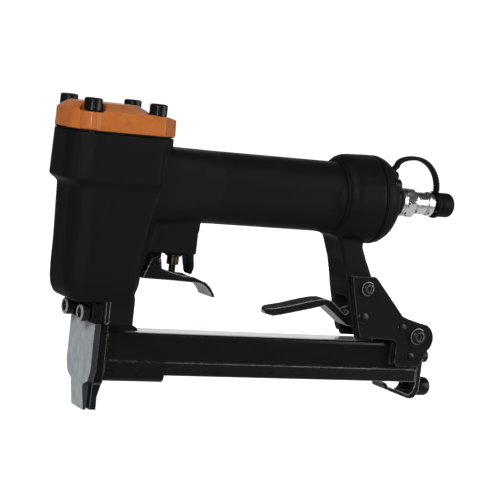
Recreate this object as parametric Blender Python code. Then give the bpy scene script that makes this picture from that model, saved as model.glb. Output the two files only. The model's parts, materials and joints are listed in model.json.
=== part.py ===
"""Pneumatic fine wire stapler, as an assembly of its separate pieces.

The origin is on the nose's contact face, on the driver's side of the rear guide.
+X runs back to the air inlet, +Z up the cylinder, and Y across the tool.
Sizes are in millimetres here, and the meshes are made in metres.
"""

import math

import bmesh
import bpy
from mathutils import Vector

MM = 0.001
GAP = 0.3
ROUND = 24

# Cylinder and head
DRIVER_X = -1.5
HEAD_FRONT, HEAD_REAR, HEAD_HALF = -26.3, 26.8, 20.5
HEAD_FRONT_RADIUS, HEAD_REAR_CHAMFER = 13.5, 9.4
HEAD_TOP = 132.6
BORE_RADIUS, BORE_FLOOR = 15.8, 67.0
LINER_RADIUS, LINER_WALL = 15.0, 2.0
LINER_LOW, LINER_HIGH = 71.0, 130.4
PISTON_RADIUS, PISTON_LOW, PISTON_HIGH = 12.7, 115.5, 125.0
BLADE_TIP, BLADE_HALF, BLADE_THICK = 38.2, 6.4, 1.2
SLOT_FRONT, SLOT_REAR, SLOT_HALF = -2.4, -0.6, 6.8

# Cap
CAP_FRONT, CAP_REAR, CAP_HALF = -26.5, 27.3, 21.0
CAP_FRONT_RADIUS, CAP_REAR_CHAMFER = 14.0, 9.9
CAP_LOW, CAP_LEDGE, CAP_TOP = 133.6, 143.2, 146.3
CROWN_REAR, CROWN_HALF, CROWN_TOP_REAR, CROWN_TOP_HALF = 17.0, 20.4, 10.3, 12.0
CAP_SCREW_X, CAP_SCREW_Y = (-18.0, 15.0), 15.5
SCREW_TOP = 148.5
CAP_SEATS = ((142.1, 6.0), (142.4, 4.9))
CAVITY_RADIUS, CAVITY_TOP = 14.0, 139.0
SPRING_WELL_RADIUS, SPRING_WELL_TOP = 9.0, 143.0

# Handle, knob and end cap
HANDLE_Z, HANDLE_HEIGHT, HANDLE_HALF = 110.3, 17.7, 15.5
KNOB_Z, KNOB_RADIUS = 110.4, 22.75
KNOB_START, KNOB_FULL, KNOB_END = 121.4, 128.0, 141.8
KNOB_SHOULDER_RADIUS, KNOB_FLANGE_RADIUS = 22.2, 17.75
CHAMBER_RADIUS, CHAMBER_MOUTH_RADIUS = 11.0, 14.0
END_CAP_FACE = 142.9
END_SCREW_RADIUS, END_STRAP_RADIUS = 18.2, 12.9
INLET_RADIUS = 5.6
STRAP_HALF = 1.75

# Leg and lower block
LEG_HALF, LEG_LOW = 9.5, 39.0
LEVER_SLOT_HALF, LEVER_SLOT_TOP = 6.3, 60.4
BLOCK_FRONT, BLOCK_REAR, BLOCK_HALF = -2.1, 15.0, 15.0
BLOCK_LOW, CHIN_LOW = 42.3, 52.8

# Nose
PLATE_FRONT, PLATE_REAR, PLATE_HALF = -5.7, -2.4, 15.5
PLATE_TOP, PLATE_NECK_HALF, SHOULDER_TOP, SHOULDER_LOW, TIP_HALF = 52.2, 13.2, 20.0, 12.5, 7.5
GUIDE_TOP, GUIDE_REAR = 42.0, 4.5
NOSE_SCREW_Y, NOSE_SCREW_Z, NOSE_SCREW_TOP = 9.9, 47.3, -12.1
CLAMP_FRONT, CLAMP_LOW = -7.5, 43.2

# Magazine
MAG_START, MAG_END, MAG_HALF = 4.8, 179.0, 8.0
MAG_TOP, MAG_SEAM, MAG_WALL, MAG_ROOF = 38.4, 24.4, 0.9, 1.7
RAIL_LOW, RAIL_HALF, RAIL_LIP_TOP, RAIL_TOP = 17.5, 7.6, 24.1, 33.8
RAIL_END = 180.4
FRONT_BLOCK_END, FRONT_BLOCK_LOW, FRONT_BLOCK_HALF = 36.2, 14.2, 8.5
CATCH_START, CATCH_END = 143.0, 149.0
ROD_RADIUS, ROD_Z = 1.2, 28.0
PUSHER_LENGTH = 22.0
END_PLATE_FRONT, END_PLATE_REAR, END_PLATE_HALF = 181.0, 184.0, 7.5
PULL_KNOB_Z = 14.1

# Trigger and trigger valve
TRIGGER_PIVOT = (26.0, 73.0)
CHEEK_OUT, CHEEK_IN = 7.8, 6.2
TRIGGER_WEB = 1.3
VALVE_X = 38.0
VALVE_BLOCK_LOW, VALVE_BLOCK_HALF = 78.0, 12.0
STOP_HALF, STOP_SLOT_HALF = 4.0, 4.6

# Latch lever and hanger
LATCH_PIVOT = (141.5, 50.8)
LEVER_OUT, LEVER_IN = 5.5, 4.3
HOOK_REAR, HOOK_TIP = 153.4, 34.2
HANGER_IN, HANGER_OUT = 10.3, 12.8
LEG_BOLT = (142.3, 66.0)
CROSS_BOLT = (175.4, 42.5)
HANGER_RIVETS = {"lower": (172.2, 31.4), "upper": (165.4, 46.4)}

MATERIALS = {}


def clear_scene():
    for old in list(bpy.data.objects):
        bpy.data.objects.remove(old, do_unlink=True)


def material(name, colour, roughness, metallic):
    """One Principled material, made once and shared."""
    if name not in MATERIALS:
        made = bpy.data.materials.new(name)
        made.use_nodes = True
        shader = made.node_tree.nodes["Principled BSDF"]
        shader.inputs["Base Color"].default_value = (*colour, 1.0)
        shader.inputs["Roughness"].default_value = roughness
        shader.inputs["Metallic"].default_value = metallic
        MATERIALS[name] = made
    return MATERIALS[name]


def black_paint():
    return material("black_paint", (0.012, 0.012, 0.013), 0.45, 0.0)


def orange_paint():
    return material("orange_paint", (0.55, 0.14, 0.03), 0.4, 0.0)


def black_steel():
    return material("black_oxide_steel", (0.02, 0.02, 0.022), 0.4, 0.9)


def ground_steel():
    return material("ground_steel", (0.32, 0.34, 0.35), 0.35, 1.0)


def chrome():
    return material("chrome_plate", (0.6, 0.6, 0.6), 0.12, 1.0)


def rubber():
    return material("black_rubber", (0.012, 0.015, 0.015), 0.7, 0.0)


def bronze():
    return material("bronze_bush", (0.35, 0.2, 0.08), 0.35, 1.0)


def aluminium():
    return material("bare_aluminium", (0.5, 0.5, 0.5), 0.35, 1.0)


# ---------------------------------------------------------------- outlines


def arc(centre_u, centre_v, radius, start, end, steps):
    """Points on a circular arc, angles in degrees."""
    points = []
    for i in range(steps + 1):
        angle = math.radians(start + (end - start) * i / steps)
        points.append((centre_u + radius * math.cos(angle), centre_v + radius * math.sin(angle)))
    return points


def rounded_plan(left, right, half, left_radius, right_radius, left_steps=6, right_steps=6):
    """Anticlockwise rectangle with one corner radius at each end; one step makes a chamfer."""
    points = arc(left + left_radius, -half + left_radius, left_radius, 180, 270, left_steps)
    points += arc(right - right_radius, -half + right_radius, right_radius, 270, 360, right_steps)
    points += arc(right - right_radius, half - right_radius, right_radius, 0, 90, right_steps)
    points += arc(left + left_radius, half - left_radius, left_radius, 90, 180, left_steps)
    return points


def rectangle(low_u, high_u, low_v, high_v):
    return [(low_u, low_v), (high_u, low_v), (high_u, high_v), (low_u, high_v)]


def hexagon(centre_u, centre_v, across_flats):
    radius = across_flats / math.sqrt(3)
    return arc(centre_u, centre_v, radius, 0, 300, 5)


# ---------------------------------------------------------------- solids


def in_space(across, u, v, along):
    """A point from its outline (u, v) and its place along the axis the outline is swept on."""
    if across == "x":
        return Vector((along, u, v))
    if across == "y":
        return Vector((u, along, v))
    return Vector((u, v, along))


def loft(rings):
    """A closed solid through rings of 3D points, flat at both ends."""
    solid = bmesh.new()
    rows = [[solid.verts.new(point) for point in ring] for ring in rings]
    count = len(rows[0])
    for low, high in zip(rows, rows[1:]):
        for i in range(count):
            j = (i + 1) % count
            solid.faces.new((low[i], low[j], high[j], high[i]))
    solid.faces.new(rows[0])
    solid.faces.new(rows[-1])
    bmesh.ops.recalc_face_normals(solid, faces=solid.faces)
    return solid


def prism(outline, across, low, high):
    """The outline swept straight along one axis, from low to high."""
    ends = [[in_space(across, u, v, along) for u, v in outline] for along in (low, high)]
    return loft(ends)


def turned(profile, along, centre, steps=ROUND):
    """A profile of (place along the axis, radius) turned about the axis; the profile is a closed loop."""
    solid = bmesh.new()
    rings = []
    for place, radius in profile:
        if radius < 1e-6:
            rings.append([solid.verts.new(in_space(along, centre[0], centre[1], place))])
            continue
        ring = []
        for i in range(steps):
            angle = 2 * math.pi * i / steps
            u = centre[0] + radius * math.cos(angle)
            v = centre[1] + radius * math.sin(angle)
            ring.append(solid.verts.new(in_space(along, u, v, place)))
        rings.append(ring)
    for first, second in zip(rings, rings[1:] + rings[:1]):
        if len(first) == 1 and len(second) == 1:
            continue
        for i in range(steps):
            j = (i + 1) % steps
            if len(first) == 1:
                corners = (first[0], second[j], second[i])
            elif len(second) == 1:
                corners = (first[i], first[j], second[0])
            else:
                corners = (first[i], first[j], second[j], second[i])
            solid.faces.new(corners)
    bmesh.ops.recalc_face_normals(solid, faces=solid.faces)
    return solid


def rod(radius, low, high, along, centre, steps=ROUND):
    return turned([(low, 0), (low, radius), (high, radius), (high, 0)], along, centre, steps)


def tube(inner, outer, low, high, along, centre, steps=ROUND):
    return turned([(low, inner), (low, outer), (high, outer), (high, inner)], along, centre, steps)


def swept(path, section):
    """A closed solid with the (across, normal) section carried along a path in the XZ plane."""
    rings = []
    for i, point in enumerate(path):
        before, after = path[max(i - 1, 0)], path[min(i + 1, len(path) - 1)]
        heading = math.atan2(after[1] - before[1], after[0] - before[0])
        normal = (-math.sin(heading), math.cos(heading))
        rings.append([
            Vector((point[0] + normal[0] * offset, across, point[1] + normal[1] * offset))
            for across, offset in section
        ])
    return loft(rings)


def coil(radius, wire, low, high, turns, along, centre, steps=9, sides=5):
    """A round wire wound at a constant pitch, cut square at both ends."""
    rings = []
    count = turns * steps
    climb = (high - low - 2 * wire) / count
    for i in range(count + 1):
        angle = 2 * math.pi * i / steps
        ring = []
        for k in range(sides):
            turn = 2 * math.pi * k / sides
            reach = radius + wire * math.cos(turn)
            u = centre[0] + reach * math.cos(angle)
            v = centre[1] + reach * math.sin(angle)
            ring.append(in_space(along, u, v, low + wire + climb * i + wire * math.sin(turn)))
        rings.append(ring)
    return loft(rings)


# ---------------------------------------------------------------- objects


def piece(name, solid, finish, pivot=(0, 0, 0)):
    """An object from a solid in millimetres, with its origin at the pivot."""
    bmesh.ops.translate(solid, verts=solid.verts, vec=-Vector(pivot))
    bmesh.ops.scale(solid, verts=solid.verts, vec=(MM, MM, MM))
    mesh = bpy.data.meshes.new(name)
    solid.to_mesh(mesh)
    solid.free()
    mesh.shade_smooth()
    mesh.set_sharp_from_angle(angle=math.radians(35))
    made = bpy.data.objects.new(name, mesh)
    made.location = Vector(pivot) * MM
    bpy.context.collection.objects.link(made)
    if finish is not None:
        mesh.materials.append(finish)
    return made


def combine(target, solid, operation):
    """One Boolean on the target, with a hidden tool object."""
    tool = piece(f"{target.name}_tool_{len(target.modifiers):02d}", solid, None)
    tool.hide_render = True
    tool.display_type = "WIRE"
    step = target.modifiers.new(operation.lower(), "BOOLEAN")
    step.operation = operation
    step.solver = "EXACT"
    step.object = tool


def cut(target, *solids):
    for solid in solids:
        combine(target, solid, "DIFFERENCE")


def fuse(target, *solids):
    for solid in solids:
        combine(target, solid, "UNION")


def socket_screw(name, along, centre, top, head_radius, head_height, shank_radius, shank_end):
    """Socket head cap screw; the head's top is at `top`, and the shank runs to shank_end."""
    way = 1 if top > shank_end else -1
    seat = top - way * head_height
    socket_depth = 0.55 * head_height
    socket_radius = 0.5 * head_radius
    profile = [
        (top - way * socket_depth, 0),
        (top - way * socket_depth, socket_radius),
        (top, socket_radius),
        (top, head_radius - 0.4),
        (top - way * 0.4, head_radius),
        (seat, head_radius),
        (seat, shank_radius),
        (shank_end, shank_radius),
        (shank_end, 0),
    ]
    return piece(name, turned(profile, along, centre, 16), black_steel())


# ---------------------------------------------------------------- housing


def head_solid():
    """The cylinder block: the full plan at the top, then a stepped and tapering column."""
    sections = [
        # height, front, rear, half width, front radius, rear chamfer
        (HEAD_TOP, HEAD_FRONT, HEAD_REAR, HEAD_HALF, HEAD_FRONT_RADIUS, HEAD_REAR_CHAMFER),
        (110.4, -26.8, 26.8, HEAD_HALF, HEAD_FRONT_RADIUS, HEAD_REAR_CHAMFER),
        (107.4, -22.5, 25.0, 18.6, 11.5, 7.0),
        (80.0, -21.6, 19.5, 18.2, 11.0, 6.0),
        (68.0, -21.4, 16.4, 18.0, 10.0, 5.0),
        (61.5, -21.0, 15.6, 17.4, 9.0, 4.0),
        (57.5, -20.2, 14.6, 16.6, 8.0, 4.0),
        (54.4, -18.6, 14.4, 15.6, 7.0, 4.0),
        (CHIN_LOW, -16.0, 14.4, 15.0, 5.0, 4.0),
    ]
    rings = []
    for height, front, rear, half, front_radius, chamfer in sections:
        outline = rounded_plan(front, rear, half, front_radius, chamfer, right_steps=1)
        rings.append([Vector((u, v, height)) for u, v in outline])
    return loft(rings)


def handle_solid():
    """Flat sided where it leaves the head, and rounder along the grip."""
    rings = []
    sections = ((14.0, 18.0, 7.0), (27.0, 17.8, 7.5), (54.0, HANDLE_HALF, 12.5), (121.0, HANDLE_HALF, 12.5))
    for place, half, radius in sections:
        outline = rounded_plan(-half, half, HANDLE_HEIGHT, radius, radius)
        rings.append([Vector((place, u, HANDLE_Z + v)) for u, v in outline])
    return loft(rings)


def knob_solid():
    profile = [(KNOB_START - 4, 0), (KNOB_START - 4, 15.0), (KNOB_START, KNOB_FLANGE_RADIUS)]
    profile += arc(KNOB_FULL, KNOB_SHOULDER_RADIUS - 5.2, 5.2, 180, 90, 3)
    profile += [(KNOB_END, KNOB_RADIUS), (KNOB_END, 0)]
    return turned(profile, "x", (0, KNOB_Z), 32)


def leg_solid():
    outline = [
        (112.0, 96.0), (113.0, 92.6), (116.4, 92.3), (120.5, 92.0), (124.5, 90.0), (127.0, 83.6),
        (128.8, 79.1), (131.3, 69.1), (133.2, 64.1), (134.5, 58.5), (137.7, 47.9), (140.3, 41.8),
        (141.4, LEG_LOW),
        (149.4, LEG_LOW), (149.4, 58.0), (147.4, 66.0), (146.4, 71.3), (141.6, 80.3), (138.8, 86.5),
        (138.8, 96.0),
    ]
    return prism(outline, "y", -LEG_HALF, LEG_HALF)


def valve_block_solid():
    """The boss under the handle that holds the trigger valve."""
    outline = [(14.0, VALVE_BLOCK_LOW), (44.8, VALVE_BLOCK_LOW), (44.8, 87.5), (45.7, 96.0), (14.0, 96.0)]
    return prism(outline, "y", -VALVE_BLOCK_HALF, VALVE_BLOCK_HALF)


def trigger_ears():
    """The lug that carries the trigger pin, and the stop behind the valve."""
    lug = prism([(15.0, 66.4), (29.2, 69.6), (29.6, 80.0), (15.0, 80.0)], "y", -5.6, 5.6)
    stop = [(45.9, 67.4), (47.2, 66.9), (48.4, 70.4), (47.6, 77.0), (44.0, 90.0), (41.0, 90.0), (43.0, 80.0)]
    return lug, prism(stop, "y", -STOP_HALF, STOP_HALF)


def build_housing():
    housing = piece("gun_housing", head_solid(), black_paint())
    lower_block = prism(
        rounded_plan(BLOCK_FRONT, BLOCK_REAR, BLOCK_HALF, 0.6, 3.0, 3, 3), "z", BLOCK_LOW, CHIN_LOW + 3
    )
    lug, stop = trigger_ears()
    collar = rod(6.4, VALVE_BLOCK_LOW - 1.7, VALVE_BLOCK_LOW + 2, "z", (VALVE_X, 0), 20)
    fuse(housing, handle_solid(), knob_solid(), leg_solid(), valve_block_solid())
    fuse(housing, lower_block, lug, stop, collar)
    cut_cylinder(housing)
    cut_air_chamber(housing)
    cut_trigger_valve(housing)
    cut_leg(housing)
    cut_screw_holes(housing)


def cut_cylinder(housing):
    axis = (DRIVER_X, 0)
    slot = prism(rectangle(SLOT_FRONT, SLOT_REAR, -SLOT_HALF, SLOT_HALF), "z", BLOCK_LOW - 1, BORE_FLOOR + 1)
    cut(housing, rod(BORE_RADIUS, BORE_FLOOR, HEAD_TOP + 1, "z", axis, 32), slot)


def cut_air_chamber(housing):
    """The reservoir in the handle, open into the cylinder bore and at the rear."""
    profile = [
        (8.0, 0), (8.0, CHAMBER_RADIUS), (123.0, CHAMBER_RADIUS), (126.6, CHAMBER_MOUTH_RADIUS),
        (KNOB_END + 1, CHAMBER_MOUTH_RADIUS), (KNOB_END + 1, 0),
    ]
    cut(housing, turned(profile, "x", (0, KNOB_Z), 22))


def cut_trigger_valve(housing):
    axis = (VALVE_X, 0)
    pivot_x, pivot_z = TRIGGER_PIVOT
    cut(
        housing,
        rod(4.5, VALVE_BLOCK_LOW - 3, 98.0, "z", axis, 18),
        rod(1.8, -6.5, 6.5, "y", (pivot_x, pivot_z), 14),
    )


def cut_leg(housing):
    """The fork for the latch lever, and the holes for the pin and the leg bolt."""
    fork = prism(
        [(125.0, 30.0), (151.0, 30.0), (151.0, 56.0), (144.0, LEVER_SLOT_TOP), (125.0, LEVER_SLOT_TOP)],
        "y", -LEVER_SLOT_HALF, LEVER_SLOT_HALF,
    )
    cut(housing, fork, rod(2.3, -11, 11, "y", LATCH_PIVOT, 14), rod(2.9, -11, 11, "y", LEG_BOLT, 16))


def cut_screw_holes(housing):
    for x in CAP_SCREW_X:
        for side in (-1, 1):
            cut(housing, rod(2.6, 116.0, HEAD_TOP + 1, "z", (x, side * CAP_SCREW_Y), 12))
    for side in (-1, 1):
        cut(housing, rod(2.6, BLOCK_FRONT - 1, 9.0, "x", (side * NOSE_SCREW_Y, NOSE_SCREW_Z), 12))
    for place in end_screw_places():
        cut(housing, rod(2.1, 128.4, KNOB_END + 1, "x", place, 11))


def end_screw_places():
    """The (Y, Z) places of the three end cap screws."""
    return arc(0, KNOB_Z, END_SCREW_RADIUS, 30, 270, 2)


# ---------------------------------------------------------------- cap


def build_cap():
    cap = piece("cylinder_cap", cap_shell(), orange_paint())
    fuse(cap, cap_crown())
    for side in (-1, 1):
        boss = rod(5.6, CAP_LOW + 0.4, CAP_LEDGE - 0.3, "z", (CAP_SCREW_X[0], side * CAP_SCREW_Y), 20)
        fuse(cap, boss)
    rear_slope = [(16.5, CAP_LEDGE + 0.1), (CAP_REAR + 1, 141.3), (CAP_REAR + 1, CAP_TOP), (16.5, CAP_TOP)]
    cut(cap, prism(rear_slope, "y", -CAP_HALF - 1, CAP_HALF + 1))
    axis = (DRIVER_X, 0)
    cavity = [
        (CAP_LOW - 1, 0), (CAP_LOW - 1, CAVITY_RADIUS), (CAVITY_TOP, CAVITY_RADIUS),
        (CAVITY_TOP, SPRING_WELL_RADIUS), (SPRING_WELL_TOP, SPRING_WELL_RADIUS), (SPRING_WELL_TOP, 0),
    ]
    cut(cap, turned(cavity, "z", axis))
    for x, (seat, seat_radius) in zip(CAP_SCREW_X, CAP_SEATS):
        for side in (-1, 1):
            centre = (x, side * CAP_SCREW_Y)
            cut(cap, rod(seat_radius, seat, CAP_TOP + 1, "z", centre, 20))
            cut(cap, rod(2.6, CAP_LOW - 1, CAP_TOP, "z", centre, 12))


def cap_crown():
    """The raised top: it slopes down to the plan's front and sides, and is round behind."""
    rings = []
    for height, front, rear, half, front_radius, rear_radius in (
        (CAP_LEDGE - 1.6, -26.2, CROWN_REAR + 1.4, CROWN_HALF + 0.2, 13.6, 17.6),
        (CAP_LEDGE - 0.6, -26.1, CROWN_REAR, CROWN_HALF, 13.6, 17.2),
        (CAP_TOP - 0.6, -23.2, CROWN_TOP_REAR + 0.8, CROWN_TOP_HALF + 1.0, 9.0, 11.6),
        (CAP_TOP, -21.6, CROWN_TOP_REAR, CROWN_TOP_HALF, 8.0, 11.0),
    ):
        outline = rounded_plan(front, rear, half, front_radius, rear_radius, 5, 7)
        rings.append([Vector((u, v, height)) for u, v in outline])
    return loft(rings)


def cap_shell():
    """The plan outline with a small draft and a chamfered top edge."""
    rings = []
    for height, inset in ((CAP_LOW, 0.0), (CAP_LEDGE - 1.2, 0.4), (CAP_LEDGE - 0.4, 0.6), (CAP_LEDGE, 1.2)):
        outline = rounded_plan(
            CAP_FRONT + inset, CAP_REAR - inset, CAP_HALF - inset,
            CAP_FRONT_RADIUS - inset, CAP_REAR_CHAMFER - inset, right_steps=1,
        )
        rings.append([Vector((u, v, height)) for u, v in outline])
    return loft(rings)


def build_gasket():
    outline = rounded_plan(
        HEAD_FRONT, HEAD_REAR, HEAD_HALF, HEAD_FRONT_RADIUS, HEAD_REAR_CHAMFER, right_steps=1
    )
    gasket = piece("cap_gasket", prism(outline, "z", HEAD_TOP + GAP, CAP_LOW - GAP), rubber())
    cut(gasket, rod(BORE_RADIUS, HEAD_TOP - 1, CAP_LOW + 1, "z", (DRIVER_X, 0)))
    for x in CAP_SCREW_X:
        for side in (-1, 1):
            cut(gasket, rod(2.6, HEAD_TOP - 1, CAP_LOW + 1, "z", (x, side * CAP_SCREW_Y), 12))


def build_cap_screws():
    number = 1
    for x in CAP_SCREW_X:
        for side in (-1, 1):
            centre = (x, side * CAP_SCREW_Y)
            socket_screw(f"cap_screw_{number}", "z", centre, SCREW_TOP, 4.25, 6.1, 2.3, 117.0)
            number += 1


# ---------------------------------------------------------------- inside the cylinder


def build_cylinder():
    axis = (DRIVER_X, 0)
    bore = LINER_RADIUS - LINER_WALL
    piece("cylinder_liner", tube(bore, LINER_RADIUS, LINER_LOW, LINER_HIGH, "z", axis), aluminium())
    bumper = turned(
        [(BORE_FLOOR + GAP, 7.4), (BORE_FLOOR + GAP, 15.0), (70.6, 15.0), (70.6, 12.4), (76.5, 11.6),
         (77.4, 9.0), (77.4, 7.4)], "z", axis,
    )
    piece("bumper", bumper, rubber())
    head = turned(
        [(LINER_HIGH + GAP, 10.0), (LINER_HIGH + GAP, 13.6), (135.3, 13.6), (135.3, 6.0), (139.2, 6.0),
         (139.2, 0), (133.6, 0), (133.6, 10.0)], "z", axis,
    )
    piece("head_valve", head, aluminium())
    spring = coil(7.3, 0.5, 135.7, SPRING_WELL_TOP - GAP, 3, "z", axis, 9, 4)
    piece("head_valve_spring", spring, black_steel())


def build_piston():
    axis = (DRIVER_X, 0)
    groove_low, groove_high, groove_radius = 119.0, 121.6, 10.8
    body = turned(
        [(PISTON_LOW, 0), (PISTON_LOW, 8.0), (PISTON_LOW + 1.5, PISTON_RADIUS), (groove_low, PISTON_RADIUS),
         (groove_low, groove_radius), (groove_high, groove_radius), (groove_high, PISTON_RADIUS),
         (PISTON_HIGH, PISTON_RADIUS), (PISTON_HIGH, 6.0), (PISTON_HIGH - 2.0, 6.0), (PISTON_HIGH - 2.0, 0)],
        "z", axis,
    )
    piece("piston", body, aluminium())
    ring = tube(groove_radius + GAP, PISTON_RADIUS + 0.1, groove_low + GAP, groove_high - GAP, "z", axis)
    piece("piston_ring", ring, rubber())
    blade = prism(
        rectangle(DRIVER_X - BLADE_THICK / 2, DRIVER_X + BLADE_THICK / 2, -BLADE_HALF, BLADE_HALF),
        "z", BLADE_TIP, PISTON_LOW - GAP,
    )
    piece("driver_blade", blade, ground_steel())


# ---------------------------------------------------------------- rear end


def build_end_cap():
    axis = (0, KNOB_Z)
    profile = [
        (END_CAP_FACE, CHAMBER_MOUTH_RADIUS), (END_CAP_FACE, KNOB_RADIUS), (145.4, 22.6), (148.2, 21.6),
        (150.8, 19.8), (153.0, 17.2), (155.0, 13.6), (156.6, 10.0), (158.6, 8.2), (160.6, 8.2),
        (160.6, INLET_RADIUS), (156.0, INLET_RADIUS), (151.0, 9.0), (148.0, CHAMBER_MOUTH_RADIUS),
    ]
    cap = piece("end_cap", turned(profile, "x", axis, 32), black_paint())
    for place in end_screw_places():
        cut(cap, rod(2.3, END_CAP_FACE - 1, 160.0, "x", place, 10), rod(4.2, 147.4, 162.0, "x", place, 14))
    strap_seat = (0, KNOB_Z + END_STRAP_RADIUS)
    cut(cap, rod(4.4, 155.3, 164.0, "x", strap_seat, 14), rod(1.8, 148.0, 158.0, "x", strap_seat, 10))
    gasket = tube(CHAMBER_MOUTH_RADIUS, KNOB_RADIUS - 0.3, KNOB_END + GAP, END_CAP_FACE - GAP, "x", axis)
    gasket_piece = piece("end_cap_gasket", gasket, rubber())
    for number, place in enumerate(end_screw_places(), 1):
        cut(gasket_piece, rod(2.3, KNOB_END - 1, END_CAP_FACE + 1, "x", place, 13))
        socket_screw(f"end_cap_screw_{number}", "x", place, 151.8, 3.5, 4.0, 1.8, 129.0)
    socket_screw("strap_screw", "x", strap_seat, 159.6, 2.5, 2.0, 1.5, 150.0)


def build_air_plug():
    """Threaded neck, collar and hexagon, then the quick connect barrel."""
    axis = (0, KNOB_Z)
    neck = INLET_RADIUS - GAP
    profile = [
        (154.0, 0), (154.0, neck), (160.9, neck), (160.9, 7.0), (161.4, 7.5), (163.2, 7.5), (163.7, 7.0),
        (169.4, 7.0), (169.8, 5.1), (170.6, 5.1), (171.0, 5.9), (177.0, 5.9), (177.4, 5.0), (178.0, 5.0),
        (178.4, 6.3), (181.2, 6.3), (181.8, 5.2), (182.6, 4.1), (184.4, 4.1), (185.0, 5.0), (187.6, 5.0),
        (189.0, 4.0), (189.0, 0),
    ]
    plug = piece("air_plug", turned(profile, "x", axis, 20), chrome())
    fuse(plug, prism(hexagon(0, KNOB_Z, 14.4), "x", 163.9, 169.2))
    cut(plug, rod(2.6, 150.0, 195.0, "x", axis, 12))


def strap_path():
    """Centre line in the XZ plane, from the screw up and over to the dust cap."""
    crown_x, crown_z = 169.2, KNOB_Z + 23.0
    seat_x, seat_z = 156.45, KNOB_Z + END_STRAP_RADIUS
    front_x, front_z, rear_x, rear_drop = 158.0, KNOB_Z + 18.2, 184.3, 15.1
    path = [(seat_x, seat_z - 1.8), (seat_x, seat_z), (seat_x + 0.1, seat_z + 2.2), (156.9, seat_z + 3.6)]
    for u, v in arc(0, 0, 1, 180, 90, 5):
        path.append((crown_x + u * (crown_x - front_x), front_z + v * (crown_z - front_z)))
    for u, v in arc(0, 0, 1, 90, 0, 7)[1:]:
        path.append((crown_x + u * (rear_x - crown_x), crown_z - rear_drop + v * rear_drop))
    return path


def build_dust_cap():
    axis = (0, KNOB_Z)
    profile = [
        (182.4, 6.2), (182.4, 7.0), (183.4, 7.2), (184.8, 7.0), (185.6, 6.4), (191.4, 6.3), (193.0, 5.2),
        (193.7, 3.4), (193.8, 0), (190.0, 0), (190.0, 5.5), (184.0, 5.5),
    ]
    piece("dust_cap", turned(profile, "x", axis, 20), rubber())
    section = [(-STRAP_HALF, -0.85), (STRAP_HALF, -0.85), (STRAP_HALF, 0.85), (-STRAP_HALF, 0.85)]
    strap = piece("cap_strap", swept(strap_path(), section), rubber())
    seat_z = KNOB_Z + END_STRAP_RADIUS
    fuse(strap, rod(3.2, 155.6, 157.3, "x", (0, seat_z), 14))
    cut(strap, rod(1.8, 152.0, 162.0, "x", (0, seat_z), 10))


# ---------------------------------------------------------------- trigger and its valve


def build_trigger():
    pivot_x, pivot_z = TRIGGER_PIVOT
    curl_out = [(50.8, 65.1), (53.6, 64.2), (56.4, 61.7), (58.4, 58.9), (59.2, 57.2)]
    curl_in = [(57.6, 57.0), (56.2, 59.2), (54.2, 61.4), (51.6, 63.2), (49.0, 63.7)]
    side = [
        (19.6, 64.7), (21.6, 69.6), (23.6, 74.4), (26.0, 75.6), (28.4, 74.7), (29.2, 70.0), (34.7, 68.2),
        (41.0, 66.9), (47.2, 66.5),
    ]
    outline = side + curl_out + curl_in + [(36.0, 64.3)]
    trigger = piece(
        "trigger", prism(outline, "y", -CHEEK_OUT, CHEEK_OUT), black_steel(), (pivot_x, 0, pivot_z)
    )
    inside = [
        (18.0, 66.0), (36.0, 64.3 + TRIGGER_WEB), (48.6, 63.7 + TRIGGER_WEB), (51.0, 68.0), (52.0, 78.0),
        (18.0, 78.0),
    ]
    stop_slot = prism(rectangle(43.4, 50.2, -STOP_SLOT_HALF, STOP_SLOT_HALF), "z", 60.0, 70.0)
    cut(trigger, prism(inside, "y", -CHEEK_IN, CHEEK_IN), stop_slot)
    cut(trigger, rod(1.8, -9, 9, "y", TRIGGER_PIVOT, 14))
    pin = turned(
        [(-8.9, 0), (-8.9, 2.0), (-8.6, 2.4), (-8.1, 2.4), (-8.1, 1.5), (8.9, 1.5), (8.9, 0)],
        "y", TRIGGER_PIVOT, 14,
    )
    piece("trigger_pin", pin, ground_steel())


def build_trigger_valve():
    axis = (VALVE_X, 0)
    bush = turned(
        [(71.4, 2.1), (71.4, 3.0), (75.2, 3.0), (75.6, 4.1), (95.0, 4.1), (95.0, 3.5), (80.0, 3.5),
         (80.0, 2.1)],
        "z", axis, 20,
    )
    piece("valve_bush", bush, bronze())
    stem = turned(
        [(65.9, 0), (66.3, 1.3), (66.6, 1.7), (84.0, 1.7), (84.0, 3.2), (86.4, 3.2), (86.4, 1.7),
         (96.0, 1.7), (96.0, 0)],
        "z", axis, 14,
    )
    piece("valve_stem", stem, ground_steel())
    piece("valve_spring", coil(2.5, 0.35, 86.8, 94.6, 4, "z", axis, 7, 3), ground_steel())


# ---------------------------------------------------------------- nose


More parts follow.
